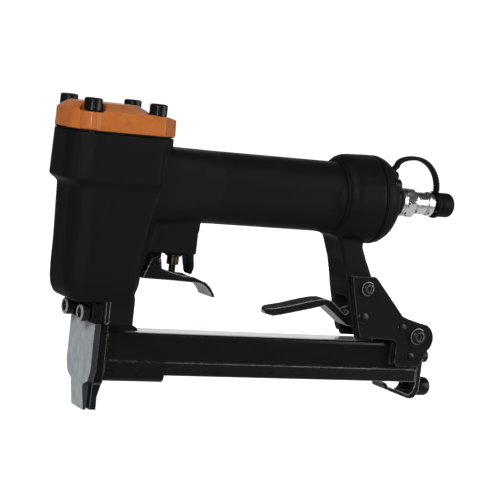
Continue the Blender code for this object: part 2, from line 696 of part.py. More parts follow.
def build_nose():
    neck_low = CLAMP_LOW - GAP
    half_outline = [
        (TIP_HALF, 0.0), (TIP_HALF, SHOULDER_LOW), (13.0, 15.0), (PLATE_HALF, SHOULDER_TOP),
        (PLATE_HALF, neck_low), (PLATE_NECK_HALF, neck_low), (PLATE_NECK_HALF, PLATE_TOP),
    ]
    outline = half_outline + [(-u, v) for u, v in reversed(half_outline)]
    plate = piece("front_guide_plate", prism(outline, "x", PLATE_FRONT, PLATE_REAR), ground_steel())
    bevel = [(PLATE_FRONT - 1, -1.0), (PLATE_FRONT + 1.7, -1.0), (PLATE_FRONT, 11.5), (PLATE_FRONT - 1, 11.5)]
    cut(plate, prism(bevel, "y", -20, 20))
    guide_side = [(SLOT_REAR, 0.0), (2.7, 0.0), (2.6, 6.3), (GUIDE_REAR, 13.8), (GUIDE_REAR, GUIDE_TOP),
                  (SLOT_REAR, GUIDE_TOP)]
    guide = piece("rear_guide", prism(guide_side, "y", -MAG_HALF, MAG_HALF), black_steel())
    cut(guide, prism(rectangle(-7.1, 7.1, 18.0, 36.7), "x", SLOT_REAR - 1, GUIDE_REAR + 1))
    outside = -MAG_HALF - 1
    narrow = [(outside, -1), (-TIP_HALF, -1), (-TIP_HALF, SHOULDER_LOW), (outside, SHOULDER_LOW + 1.5)]
    for side in (-1, 1):
        cut(guide, prism([(side * u, v) for u, v in narrow], "x", SLOT_REAR - 1, GUIDE_REAR + 1))
    clamp = piece("guide_clamp", prism(clamp_plan(), "z", CLAMP_LOW, PLATE_TOP), black_steel())
    for number, side in enumerate((-1, 1), 1):
        centre = (side * NOSE_SCREW_Y, NOSE_SCREW_Z)
        hole = (2.9, PLATE_FRONT - 4, PLATE_REAR + 1, "x", centre, 14)
        cut(plate, rod(*hole))
        cut(clamp, rod(*hole))
        socket_screw(f"nose_screw_{number}", "x", centre, NOSE_SCREW_TOP, 4.1, 4.3, 2.3, 8.0)


def clamp_plan():
    """A bar across the front guide plate, with a cheek back beside each edge of the plate's neck."""
    inner = PLATE_NECK_HALF + GAP
    half = [
        (CLAMP_FRONT, -PLATE_HALF), (PLATE_REAR, -PLATE_HALF), (PLATE_REAR, -inner),
        (PLATE_FRONT - GAP, -inner),
    ]
    return half + [(u, -v) for u, v in reversed(half)]


# ---------------------------------------------------------------- magazine


def build_magazine():
    wall = MAG_HALF - MAG_WALL
    roof = MAG_TOP - MAG_ROOF
    bend = arc(MAG_HALF - 2, MAG_TOP - 2, 2, 0, 90, 3)
    section = [(MAG_HALF, MAG_SEAM)] + bend + [(-u, v) for u, v in reversed(bend)]
    section += [(-MAG_HALF, MAG_SEAM), (-wall, MAG_SEAM), (-wall, roof), (wall, roof), (wall, MAG_SEAM)]
    channel = piece("magazine_channel", prism(section, "x", MAG_START, MAG_END), black_steel())
    cut(channel, prism(rectangle(147.6, 157.4, -4.7, 4.7), "z", roof - 1, MAG_TOP + 1))
    outer, inner = FRONT_BLOCK_HALF, MAG_HALF - 0.1
    shoe = [
        (outer, MAG_SEAM - GAP), (inner, MAG_SEAM - GAP), (inner, RAIL_LOW - GAP),
        (-inner, RAIL_LOW - GAP), (-inner, MAG_SEAM - GAP), (-outer, MAG_SEAM - GAP),
        (-outer, FRONT_BLOCK_LOW + 1.6), (-outer + 1.6, FRONT_BLOCK_LOW), (outer - 1.6, FRONT_BLOCK_LOW),
        (outer, FRONT_BLOCK_LOW + 1.6),
    ]
    piece("magazine_front_block", prism(shoe, "x", MAG_START, FRONT_BLOCK_END), black_steel())
    low, high = MAG_TOP + GAP, BLOCK_LOW - GAP
    lug = [(6.0, low), (21.0, low), (20.4, 40.2), (17.0, high), (6.0, high)]
    piece("magazine_front_lug", prism(lug, "y", -6.0, 6.0), ground_steel())


def build_rail():
    lip, inner_out, inner_in, floor = 6.9, 5.5, 4.4, RAIL_LOW + 1.2
    section = [
        (-RAIL_HALF, RAIL_LOW), (RAIL_HALF, RAIL_LOW), (RAIL_HALF, RAIL_LIP_TOP), (lip, RAIL_LIP_TOP),
        (lip, floor), (inner_out, floor), (inner_out, RAIL_TOP), (inner_in, RAIL_TOP), (inner_in, floor),
    ]
    section += [(-u, v) for u, v in reversed(section[2:])]
    origin = (MAG_START, 0, RAIL_LOW)
    rail = piece("staple_rail", prism(section, "x", MAG_START, RAIL_END), black_steel(), origin)
    block_half, block_low = inner_in + 0.4, RAIL_LOW + 0.4
    fuse(rail, prism(rectangle(-block_half, block_half, block_low, RAIL_TOP), "x", CATCH_START, CATCH_END))
    fuse(rail, prism(rectangle(-block_half, block_half, block_low, 24.0), "x", MAG_START, 7.0))
    cut(rail, rod(ROD_RADIUS + 0.35, CATCH_START - 1, CATCH_END + 1, "x", (0, ROD_Z), 12))
    piece("guide_rod", rod(ROD_RADIUS, 8.0, CATCH_END - 0.4, "x", (0, ROD_Z), 10), ground_steel())


def build_pusher():
    crown, saddle, leg_in, leg_out = 36.3, RAIL_TOP + GAP, 5.8, 6.6
    section = [
        (leg_out, 21.0), (leg_out, crown), (-leg_out, crown), (-leg_out, 21.0), (-leg_in, 21.0),
        (-leg_in, saddle), (-4.0, saddle), (-4.0, 24.6), (4.0, 24.6), (4.0, saddle), (leg_in, saddle),
        (leg_in, 21.0),
    ]
    pusher = piece("pusher", prism(section, "x", 0.0, PUSHER_LENGTH), ground_steel(), (0, 0, RAIL_TOP))
    cut(pusher, rod(ROD_RADIUS + 0.4, -1, PUSHER_LENGTH + 1, "x", (0, ROD_Z), 12))
    spring = coil(2.6, 0.4, PUSHER_LENGTH + GAP, CATCH_START - GAP, 18, "x", (0, ROD_Z), 6, 3)
    piece("pusher_spring", spring, ground_steel())


def build_end_plate():
    """The slide's rear plate, curled forward below into a finger pull."""
    half = END_PLATE_HALF
    outline = [
        (END_PLATE_REAR, 35.0), (END_PLATE_FRONT, 35.0), (END_PLATE_FRONT, 15.6), (179.8, 12.4),
        (177.6, 10.6), (171.6, 12.6), (164.8, 14.8), (163.8, 16.5), (162.0, 16.3), (163.8, 13.2),
        (171.0, 10.9), (176.8, 8.9), (179.0, 8.6), (181.4, 9.4), (183.6, 12.6),
    ]
    plate = piece("end_plate", prism(outline, "y", -half, half), black_steel(), (END_PLATE_FRONT, 0, 25.0))
    cut(plate, rod(2.3, 178, 186, "x", (0, 30.2), 10), rod(2.3, 176, 186, "x", (0, PULL_KNOB_Z), 10))
    for side in (-1, 1):
        inner, outer = side * (half - 2.6), side * (half + 0.4)
        corner = [(160.0, inner), (161.9, inner), (165.2, outer), (160.0, outer)]
        cut(plate, prism(corner, "z", 5.0, 20.0))
    socket_screw("end_plate_screw", "x", (0, 30.2), 190.4, 3.3, 6.1, 1.9, 176.0)
    knob = [
        (178.0, 0), (178.0, 1.9), (184.3, 1.9), (184.3, 3.8), (185.2, 4.5), (186.4, 5.0), (191.0, 5.0),
        (192.2, 4.4), (193.0, 3.2), (193.3, 0),
    ]
    piece("pull_knob", turned(knob, "x", (0, PULL_KNOB_Z), 18), black_steel())


# ---------------------------------------------------------------- latch and hanger


def build_latch():
    pivot_x, pivot_z = LATCH_PIVOT
    top = [
        (90.4, 50.8), (91.4, 52.2), (96.0, 53.1), (102.6, 54.3), (108.0, 55.7), (113.6, 57.1), (119.2, 58.2),
        (123.2, 58.5), (126.2, 57.9), (129.0, 56.0), (132.5, 53.0), (135.5, 51.0), (138.0, 53.0),
        (141.5, 54.4), (144.0, 53.4), (145.6, 50.8), (148.0, 48.4), (153.6, 46.2), (154.4, 44.0),
        (HOOK_REAR, HOOK_TIP),
    ]
    bottom = [
        (HOOK_REAR - 3.4, HOOK_TIP), (150.2, 41.6), (147.0, 43.6), (141.0, 44.8), (136.6, 45.6),
        (131.5, 49.2), (126.9, 52.4), (122.9, 55.3), (114.5, 53.2), (103.3, 50.7), (97.7, 49.5),
        (93.6, 48.8), (91.0, 49.3),
    ]
    lever = piece(
        "latch_lever", prism(top + bottom, "y", -LEVER_OUT, LEVER_OUT), black_steel(), (pivot_x, 0, pivot_z)
    )
    tip_radius = LEVER_OUT + 0.2
    tip_centre = 90.3 + tip_radius
    beyond_tip = [(88.0, -8.0), (tip_centre, -8.0)] + arc(tip_centre, 0, tip_radius, 270, 90, 10)
    beyond_tip += [(tip_centre, 8.0), (88.0, 8.0)]
    cut(lever, prism(beyond_tip, "z", 40.0, 60.0))
    hollow = [
        (95.6, 47.0), (95.6, 51.7), (98.6, 52.2), (102.6, 53.0), (108.0, 54.4), (113.6, 55.8), (119.2, 56.9),
        (122.6, 57.2), (122.9, 55.3), (122.9, 47.0),
    ]
    cut(lever, prism(hollow, "y", -LEVER_IN, LEVER_IN))
    behind = [(134.4, 49.4), (137.2, 47.2), (141.0, 46.2), (147.4, 45.4), (147.4, 58.0), (134.0, 58.0)]
    cut(lever, prism(behind, "y", -LEVER_IN, LEVER_IN))
    for side in (-1, 1):
        low, high = sorted((side * 4.1, side * 8.0))
        cut(lever, prism([(148.0, 30.0), (160.0, 30.0), (160.0, 41.0), (148.0, 41.0)], "y", low, high))
    cut(lever, rod(2.3, -8, 8, "y", LATCH_PIVOT, 14))
    pin = turned(
        [(-14.0, 0), (-14.0, 2.8), (-13.1, 3.2), (-13.1, 2.0), (13.1, 2.0), (13.1, 3.2), (14.0, 2.8),
         (14.0, 0)],
        "y", LATCH_PIVOT, 16,
    )
    piece("latch_pin", pin, black_steel())
    piece("latch_spring", coil(3.0, 0.4, -3.8, 3.8, 5, "y", LATCH_PIVOT, 8, 3), ground_steel())


def hanger_outline():
    lug = arc(177.0, 41.2, 8.2, 62, -50, 7)
    return [
        (133.0, 72.0), (134.6, 64.0), (136.4, 57.2), (138.2, 50.6), (140.4, 43.0), (141.6, 40.8),
        (161.5, 40.2), (163.4, 37.4), (163.4, 28.2), (165.4, 26.4), (177.4, 26.4), (179.0, 28.0),
    ] + list(reversed(lug)) + [
        (176.3, 49.4), (168.8, 51.3), (165.2, 52.6), (148.6, 70.2), (146.6, 72.0),
    ]


def build_hanger():
    for name, side in (("hanger_plate_near", -1), ("hanger_plate_far", 1)):
        low, high = sorted((side * HANGER_IN, side * HANGER_OUT))
        plate = piece(name, prism(hanger_outline(), "y", low, high), black_paint())
        for place, radius in ((LATCH_PIVOT, 2.3), (LEG_BOLT, 2.9), (CROSS_BOLT, 2.9)):
            cut(plate, rod(radius, low - 1, high + 1, "y", place, 14))
        for place in HANGER_RIVETS.values():
            cut(plate, rod(2.1, low - 1, high + 1, "y", place, 12))
    build_saddle()
    build_hanger_bolts()


def build_saddle():
    """The block that fills the space between the hanger plates over the magazine's rear."""
    inner = MAG_HALF + GAP
    half = HANGER_IN - GAP
    section = [
        (-half, 27.0), (-inner, 27.0), (-inner, MAG_TOP + GAP), (inner, MAG_TOP + GAP), (inner, 27.0),
        (half, 27.0), (half, 48.4), (-half, 48.4),
    ]
    saddle = piece("saddle_block", prism(section, "x", 162.4, 178.6), black_paint())
    cut(saddle, rod(2.9, -11, 11, "y", CROSS_BOLT, 14))
    for place in HANGER_RIVETS.values():
        cut(saddle, rod(2.1, -11, 11, "y", place, 14))


def build_hanger_bolts():
    socket_screw("leg_bolt", "y", LEG_BOLT, -15.4, 3.7, 2.3, 2.6, 18.0)
    nut = prism(hexagon(*LEG_BOLT, 8.0), "y", HANGER_OUT + GAP, 17.2)
    nut_piece = piece("leg_nut", nut, black_steel())
    cut(nut_piece, rod(2.9, 10, 20, "y", LEG_BOLT, 14))
    socket_screw("cross_bolt", "y", CROSS_BOLT, -15.8, 4.3, 2.7, 2.6, 18.0)
    nut = prism(hexagon(*CROSS_BOLT, 8.0), "y", HANGER_OUT + GAP, 17.2)
    cross_nut = piece("cross_nut", nut, black_steel())
    cut(cross_nut, rod(2.9, 10, 20, "y", CROSS_BOLT, 14))
    for side, end in ((-1, "near"), (1, "far")):
        profile = [
            (side * 8.6, 0), (side * 8.6, 1.8), (side * 13.1, 1.8), (side * 13.1, 2.6), (side * 13.4, 2.3),
            (side * 13.6, 1.0), (side * 13.6, 0),
        ]
        for level, place in HANGER_RIVETS.items():
            piece(f"{level}_rivet_{end}", turned(profile, "y", place, 14), black_steel())


def main():
    clear_scene()
    build_housing()
    build_gasket()
    build_cap()
    build_cap_screws()
    build_cylinder()
    build_piston()
    build_end_cap()
    build_air_plug()
    build_dust_cap()
    build_trigger()
    build_trigger_valve()
    build_nose()
    build_magazine()
    build_rail()
    build_pusher()
    build_end_plate()
    build_latch()
    build_hanger()


main()
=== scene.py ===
"""Looks of the pneumatic staple gun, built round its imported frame."""

import json
import math

import bmesh
import bpy
from mathutils import Matrix, Vector


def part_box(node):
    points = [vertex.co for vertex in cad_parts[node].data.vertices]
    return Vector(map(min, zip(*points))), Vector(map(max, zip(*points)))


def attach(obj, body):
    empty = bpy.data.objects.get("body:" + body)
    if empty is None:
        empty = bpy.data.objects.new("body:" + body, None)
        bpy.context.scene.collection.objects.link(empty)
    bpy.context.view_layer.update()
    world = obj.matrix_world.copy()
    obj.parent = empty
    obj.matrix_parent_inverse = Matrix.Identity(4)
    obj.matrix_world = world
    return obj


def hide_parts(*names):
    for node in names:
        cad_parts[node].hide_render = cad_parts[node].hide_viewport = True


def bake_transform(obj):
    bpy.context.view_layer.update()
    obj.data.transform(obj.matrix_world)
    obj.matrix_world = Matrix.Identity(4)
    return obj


# Places in metres, the lens in millimetres.
CAMERA_PLACE = (-0.33755, -0.80024, 0.17093)
CAMERA_RIGHT = (0.8863, -0.4492, 0.1126)
CAMERA_UP = (-0.0546, 0.1401, 0.9890)
CAMERA_LENS = 131.5
LOOK = Vector((0.46, 0.8824, 0.0))
MIDDLE = Vector((0.08, 0.0, 0.075))

FLOOR_REACH, FLOOR_TOP, FLOOR_DEPTH = 4.0, -0.0025, 0.01

# The world's strength as seen, and as a light: by the direction along LOOK, and by height.
SKY_STRENGTH = 1.05
DARK_EDGE, BRIGHT_EDGE = 0.66, 0.98
ROOM_DIM, ROOM_BRIGHT = 0.07, 1.15
BELOW_FULL, BELOW_NONE = -0.70, -0.15
ROOM_BELOW = 0.75

MM = 0.001
ROUND = 96
WIRE_SIDES = 8
COIL_STEPS = 24
CORNER_STEPS = 4
BEVEL_SEGMENTS = 2
BEVEL_ANGLE = math.radians(38)
WELD_DISTANCE = 1e-6

# Sizes and places in millimetres.
HOUSING_VOXEL, CAP_VOXEL = 0.6, 0.4
# Places of the painted highlight along the leg's near front edge: it rises in X from the first to the second,
# and in Z from the first down to the second.
LEG_HIGHLIGHT_FRONT, LEG_HIGHLIGHT_TOP = (124, 127), (76, 73)
RUBBED_ZONE = (13, 20, 135, 152)
STRAP_HALF_WIDTH, STRAP_HALF_DEPTH, STRAP_CORNER = 1.9, 1.05, 0.6
STRAP_CROWN_X, STRAP_RISE, STRAP_INSET, STRAP_OVER_CAP = 169.2, 4.8, 0.85, 6.9
BLOCK_SIDE, MARK_RADIUS = -15.0, 0.35

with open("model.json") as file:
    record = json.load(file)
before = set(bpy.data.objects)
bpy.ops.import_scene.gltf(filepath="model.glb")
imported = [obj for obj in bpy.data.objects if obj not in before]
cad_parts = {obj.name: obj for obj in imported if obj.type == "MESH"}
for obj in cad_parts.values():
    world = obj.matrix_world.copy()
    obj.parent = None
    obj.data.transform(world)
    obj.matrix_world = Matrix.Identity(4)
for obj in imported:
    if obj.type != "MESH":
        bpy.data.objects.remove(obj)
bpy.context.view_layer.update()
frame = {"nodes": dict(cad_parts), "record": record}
NODES = frame["nodes"]
BODY_OF = {node: body for body, nodes in frame["record"]["behaviour"]["bodies"].items() for node in nodes}


# ---------------------------------------------------------------- stage


def make_camera():
    camera = bpy.data.objects.new("camera", bpy.data.cameras.new("camera"))
    bpy.context.scene.collection.objects.link(camera)
    right, up = Vector(CAMERA_RIGHT), Vector(CAMERA_UP)
    back = right.cross(up)
    turn = Matrix((right, up, back)).transposed().to_4x4()
    camera.matrix_world = Matrix.Translation(CAMERA_PLACE) @ turn
    camera.data.lens = CAMERA_LENS
    camera.data.sensor_width = 36.0
    camera.data.clip_end = 20.0
    bpy.context.scene.camera = camera


def ramp(tree, value, low, high, out_low, out_high):
    """A smooth step from one strength of the world's light to another."""
    node = tree.nodes.new("ShaderNodeMapRange")
    node.interpolation_type = "SMOOTHSTEP"
    numbers = {"From Min": low, "From Max": high, "To Min": out_low, "To Max": out_high}
    for name, number in numbers.items():
        node.inputs[name].default_value = number
    tree.links.new(value, node.inputs["Value"])
    return node.outputs["Result"]


def make_world():
    """White for the eye; as a light it is bright behind the object, soft from below and dim in front."""
    world = bpy.data.worlds.new("studio")
    bpy.context.scene.world = world
    world.use_nodes = True
    tree = world.node_tree
    tree.nodes.clear()
    out = tree.nodes.new("ShaderNodeOutputWorld")
    mix = tree.nodes.new("ShaderNodeMixShader")
    white = tree.nodes.new("ShaderNodeBackground")
    white.inputs["Strength"].default_value = SKY_STRENGTH
    white.inputs["Color"].default_value = (1, 1, 1, 1)
    room = tree.nodes.new("ShaderNodeBackground")
    path = tree.nodes.new("ShaderNodeLightPath")
    place = tree.nodes.new("ShaderNodeTexCoord")
    along = tree.nodes.new("ShaderNodeVectorMath")
    along.operation = "DOT_PRODUCT"
    along.inputs[1].default_value = LOOK
    height = tree.nodes.new("ShaderNodeSeparateXYZ")
    total = tree.nodes.new("ShaderNodeMath")
    total.operation = "ADD"
    links = tree.links
    links.new(place.outputs["Generated"], along.inputs[0])
    links.new(place.outputs["Generated"], height.inputs["Vector"])
    behind = ramp(tree, along.outputs["Value"], DARK_EDGE, BRIGHT_EDGE, ROOM_DIM, ROOM_BRIGHT)
    below = ramp(tree, height.outputs["Z"], BELOW_FULL, BELOW_NONE, ROOM_BELOW, 0.0)
    links.new(behind, total.inputs[0])
    links.new(below, total.inputs[1])
    links.new(total.outputs["Value"], room.inputs["Strength"])
    links.new(path.outputs["Is Camera Ray"], mix.inputs["Fac"])
    links.new(room.outputs["Background"], mix.inputs[1])
    links.new(white.outputs["Background"], mix.inputs[2])
    links.new(mix.outputs["Shader"], out.inputs["Surface"])


def make_light(name, place, size, power):
    """A rectangular area light that faces the object's middle."""
    light = bpy.data.lights.new(name, "AREA")
    light.shape = "RECTANGLE"
    light.size, light.size_y = size
    light.energy = power
    holder = bpy.data.objects.new(name, light)
    bpy.context.scene.collection.objects.link(holder)
    place = Vector(place)
    turn = (MIDDLE - place).to_track_quat("-Z", "Y").to_matrix().to_4x4()
    holder.matrix_world = Matrix.Translation(place) @ turn


def make_floor():
    """A white floor that lights nothing itself, so that the dark paint keeps its depth."""
    low = (-FLOOR_REACH, -FLOOR_REACH, FLOOR_TOP - FLOOR_DEPTH)
    high = (FLOOR_REACH, FLOOR_REACH, FLOOR_TOP)
    floor = new_object("floor", box_mesh(low, high))
    floor.data.materials.append(floor_finish())
    floor.visible_diffuse = False
    floor.visible_glossy = False


def floor_finish():
    """Plain white that glows enough to have no shadow."""
    paint = Finish("pale_floor")
    paint.shader.inputs["Base Color"].default_value = (0.8, 0.8, 0.8, 1)
    paint.shader.inputs["Roughness"].default_value = 0.9
    paint.shader.inputs["Specular IOR Level"].default_value = 0.1
    paint.shader.inputs["Emission Color"].default_value = (1, 1, 1, 1)
    paint.shader.inputs["Emission Strength"].default_value = 1.0
    return paint.material


# ---------------------------------------------------------------- materials


class Finish:
    """A Principled material and short ways to add its texture nodes."""

    def __init__(self, name):
        self.material = bpy.data.materials.new(name)
        self.material.use_nodes = True
        self.tree = self.material.node_tree
        self.shader = self.tree.nodes["Principled BSDF"]
        self.place = self.tree.nodes.new("ShaderNodeTexCoord").outputs["Object"]

    def link(self, source, target):
        self.tree.links.new(source, target)

    def put(self, name, value):
        self.shader.inputs[name].default_value = value

    def stretched(self, scale):
        """The object's coordinates in millimetres, stretched for brush marks and grain."""
        mapping = self.tree.nodes.new("ShaderNodeMapping")
        mapping.inputs["Scale"].default_value = [1000 * s for s in scale]
        self.link(self.place, mapping.inputs["Vector"])
        return mapping.outputs["Vector"]

    def noise(self, size, detail=3.0, rough=0.55, scale=(1, 1, 1)):
        """Noise whose features are about `size` millimetres."""
        node = self.tree.nodes.new("ShaderNodeTexNoise")
        node.inputs["Scale"].default_value = 1.0 / size
        node.inputs["Detail"].default_value = detail
        node.inputs["Roughness"].default_value = rough
        self.link(self.stretched(scale), node.inputs["Vector"])
        return node.outputs["Fac"]

    def cells(self, size):
        """Distance to the middle of cells that are about `size` millimetres."""
        node = self.tree.nodes.new("ShaderNodeTexVoronoi")
        node.inputs["Scale"].default_value = 1.0 / size
        self.link(self.stretched((1, 1, 1)), node.inputs["Vector"])
        return node.outputs["Distance"]

    def spread(self, value, low, high, out_low=0.0, out_high=1.0):
        """The value's stretch from low to high, carried to the stretch between the two outputs."""
        node = self.tree.nodes.new("ShaderNodeMapRange")
        numbers = {"From Min": low, "From Max": high, "To Min": out_low, "To Max": out_high}
        for name, number in numbers.items():
            node.inputs[name].default_value = number
        self.link(value, node.inputs["Value"])
        return node.outputs["Result"]

    def join(self, operation, first, second):
        """Two values, or a value and a number, by one sum that stays between 0 and 1."""
        node = self.tree.nodes.new("ShaderNodeMath")
        node.operation = operation
        node.use_clamp = True
        for place, value in enumerate((first, second)):
            if isinstance(value, (int, float)):
                node.inputs[place].default_value = value
            else:
                self.link(value, node.inputs[place])
        return node.outputs["Value"]

    def blend(self, share, first, second):
        """A colour between two colours, by a 0 to 1 value."""
        node = self.tree.nodes.new("ShaderNodeMix")
        node.data_type = "RGBA"
        self.link(share, node.inputs["Factor"])
        for place, value in ((6, first), (7, second)):
            if isinstance(value, tuple):
                node.inputs[place].default_value = (*value, 1)
            else:
                self.link(value, node.inputs[place])
        return node.outputs[2]

    def edges(self, width, low=0.02, high=0.25):
        """Near 1 on edges that are within `width` millimetres of a corner."""
        bevel = self.tree.nodes.new("ShaderNodeBevel")
        bevel.samples = 4
        bevel.inputs["Radius"].default_value = width * MM
        normal = self.tree.nodes.new("ShaderNodeNewGeometry").outputs["Normal"]
        dot = self.tree.nodes.new("ShaderNodeVectorMath")
        dot.operation = "DOT_PRODUCT"
        self.link(bevel.outputs["Normal"], dot.inputs[0])
        self.link(normal, dot.inputs[1])
        return self.spread(dot.outputs["Value"], 1 - low, 1 - high)

    def facing(self, way, low, high):
        """Near 1 where the surface faces a direction of the object's own space."""
        normal = self.tree.nodes.new("ShaderNodeTexCoord").outputs["Normal"]
        dot = self.tree.nodes.new("ShaderNodeVectorMath")
        dot.operation = "DOT_PRODUCT"
        dot.inputs[1].default_value = way
        self.link(normal, dot.inputs[0])
        return self.spread(dot.outputs["Value"], low, high)

    def beyond(self, axis, low, high):
        """Rises from 0 to 1 between two places in millimetres along one axis of the object."""
        node = self.tree.nodes.new("ShaderNodeSeparateXYZ")
        self.link(self.place, node.inputs["Vector"])
        return self.spread(node.outputs[axis], low * MM, high * MM)

    def bump(self, *layers):
        """Each layer is a height value with its depth in millimetres."""
        below = None
        for height, depth in layers:
            node = self.tree.nodes.new("ShaderNodeBump")
            node.inputs["Strength"].default_value = 1.0
            node.inputs["Distance"].default_value = depth * MM
            self.link(height, node.inputs["Height"])
            if below is not None:
                self.link(below, node.inputs["Normal"])
            below = node.outputs["Normal"]
        self.link(below, self.shader.inputs["Normal"])


def cast_paint():
    """Satin black paint with a fine orange peel, its edges rubbed a little, and a painted highlight along the
    leg's near front edge.
    """
    paint = Finish("cast_black_paint")
    mottle = paint.noise(9.0, 4.0)
    grain = paint.noise(0.7, 2.0)
    rubbed = paint.join("MULTIPLY", paint.edges(0.9), paint.spread(paint.noise(2.2, 5.0, 0.7), 0.52, 0.68))
    # Painted highlight: in patches along the leg's near front edge, the paint is lightened to stand in for
    # the light line there.
    leg = paint.join("MULTIPLY", paint.beyond("X", *LEG_HIGHLIGHT_FRONT), paint.beyond("Z", *LEG_HIGHLIGHT_TOP))
    patches = paint.spread(paint.noise(3.0, 4.0, 0.6), 0.36, 0.5)
    leg_edge_highlight = paint.join("MULTIPLY", paint.edges(1.0, 0.01, 0.12), patches)
    # From here the rubbed mask holds both the edge wear and the painted leg highlight, which lighten the
    # paint to one grey.
    rubbed = paint.join("MAXIMUM", rubbed, paint.join("MULTIPLY", leg, leg_edge_highlight))
    base = paint.blend(mottle, (0.0040, 0.0040, 0.0041), (0.0054, 0.0054, 0.0055))
    paint.link(paint.blend(rubbed, base, (0.07, 0.07, 0.071)), paint.shader.inputs["Base Color"])
    paint.link(paint.spread(mottle, 0.3, 0.7, 0.52, 0.64), paint.shader.inputs["Roughness"])
    paint.put("Specular IOR Level", 0.08)
    paint.bump((grain, 0.018), (paint.noise(2.6, 2.0), 0.03), (paint.cells(0.45), 0.006))
    return paint.material


def cap_paint():
    """Satin orange paint, dusty and a little chipped at its edges."""
    paint = Finish("cap_orange_paint")
    mottle = paint.noise(7.0, 4.0, 0.6)
    smudge = paint.spread(paint.noise(4.0, 5.0, 0.65), 0.56, 0.74)
    base = paint.blend(mottle, (0.36, 0.102, 0.021), (0.46, 0.134, 0.029))
    base = paint.blend(smudge, base, (0.27, 0.070, 0.016))
    patches = paint.spread(paint.noise(0.9, 4.0, 0.7), 0.60, 0.66)
    chips = paint.join("MULTIPLY", paint.edges(0.5, 0.04, 0.3), patches)
    paint.link(paint.blend(chips, base, (0.66, 0.26, 0.10)), paint.shader.inputs["Base Color"])
    paint.link(paint.spread(mottle, 0.3, 0.7, 0.38, 0.48), paint.shader.inputs["Roughness"])
    paint.put("Specular IOR Level", 0.10)
    paint.put("Coat Weight", 0.14)
    paint.put("Coat Roughness", 0.08)
    paint.bump((paint.noise(0.8, 2.0), 0.012), (paint.noise(3.0, 2.0), 0.03))
    return paint.material


def oxide_steel(name, wear_width, wear_low, wear_high, shade=0.0042, rough=0.24, front=None):
    """Blackened steel: a thin oxide coat that wears bright on its edges, more as the two limits fall.

    A piece with a front place, in millimetres, is also rubbed where it faces forwards from there.
    """
    steel = Finish(name)
    mottle = steel.noise(3.0, 4.0, 0.6)
    patches = steel.spread(steel.noise(0.8, 4.0, 0.7), wear_low, wear_high)
    worn = steel.join("MULTIPLY", steel.edges(wear_width, 0.05, 0.35), patches)
    if front is not None:
        outermost = steel.beyond("X", front + 0.8, front + 0.4)
        rubbed = steel.join("MULTIPLY", steel.facing((-1, 0, 0), 0.5, 0.9), outermost)
        worn = steel.join("MAXIMUM", worn, steel.join("MULTIPLY", rubbed, 0.8))
    dark = (0.8 * shade, 0.8 * shade, 0.82 * shade)
    pale = (1.3 * shade, 1.3 * shade, 1.35 * shade)
    base = steel.blend(mottle, dark, pale)
    steel.link(steel.blend(worn, base, (0.46, 0.46, 0.465)), steel.shader.inputs["Base Color"])
    steel.link(steel.join("MULTIPLY", worn, 0.4), steel.shader.inputs["Metallic"])
    steel.link(steel.spread(mottle, 0.3, 0.7, rough - 0.05, rough + 0.09), steel.shader.inputs["Roughness"])
    steel.put("Specular IOR Level", 0.2)
    steel.bump((steel.noise(0.35, 3.0), 0.006))
    return steel.material


def coated_sheet(name, shade, rough, grain=(1, 6, 6), polish_and_sheen=0.0, way=(0, 0, 1),
                 wear=(0.42, 0.60), zone=None):
    """Pressed and blackened steel sheet with rolling marks, rubbed bright where it faces one way; on the
    lever and trigger that bright face is a painted highlight.

    The zone is the four X places, in millimetres, between which the rubbing comes in and fades out.
    """
    sheet = Finish(name)
    marks = sheet.noise(3.0, 5.0, 0.65, tuple(g / 3 for g in grain))
    mottle = sheet.noise(12.0, 3.0)
    patches = sheet.spread(sheet.noise(1.4, 5.0, 0.7), *wear)
    # Edge wear, which also paints the thin highlight lines along the edges of the rail, front block, end
    # plate and lever.
    worn = sheet.join("MULTIPLY", sheet.edges(0.8, 0.03, 0.25), patches)
    scratch = sheet.spread(sheet.noise(5.0, 6.0, 0.75, (0.3, 7, 7)), 0.70, 0.78)
    base = sheet.blend(mottle, (shade * 0.85,) * 3, (shade * 1.2, shade * 1.2, shade * 1.25))
    base = sheet.blend(sheet.join("MULTIPLY", scratch, 0.25), base, (0.06, 0.06, 0.062))
    # Where the sheet faces one way it is brightened: polish on the magazine, a painted highlight on the lever
    # and trigger.
    if polish_and_sheen:
        streaks = sheet.spread(marks, 0.2, 0.7, 0.7, 1.0)
        rubbed = sheet.join("MULTIPLY", sheet.facing(way, 0.80, 0.97), streaks)
        if zone:
            start, full, fading, end = zone
            inside = sheet.join("MULTIPLY", sheet.beyond("X", start, full), sheet.beyond("X", end, fading))
            rubbed = sheet.join("MULTIPLY", rubbed, inside)
        worn = sheet.join("ADD", worn, sheet.join("MULTIPLY", rubbed, polish_and_sheen))
    sheet.link(sheet.blend(worn, base, (0.62, 0.64, 0.64)), sheet.shader.inputs["Base Color"])
    sheet.link(sheet.join("MULTIPLY", worn, 0.8), sheet.shader.inputs["Metallic"])
    sheet.link(sheet.spread(marks, 0.3, 0.7, rough - 0.05, rough + 0.06), sheet.shader.inputs["Roughness"])
    sheet.put("Specular IOR Level", 0.13)
    sheet.bump((marks, 0.004), (sheet.noise(0.6, 3.0), 0.004))
    return sheet.material


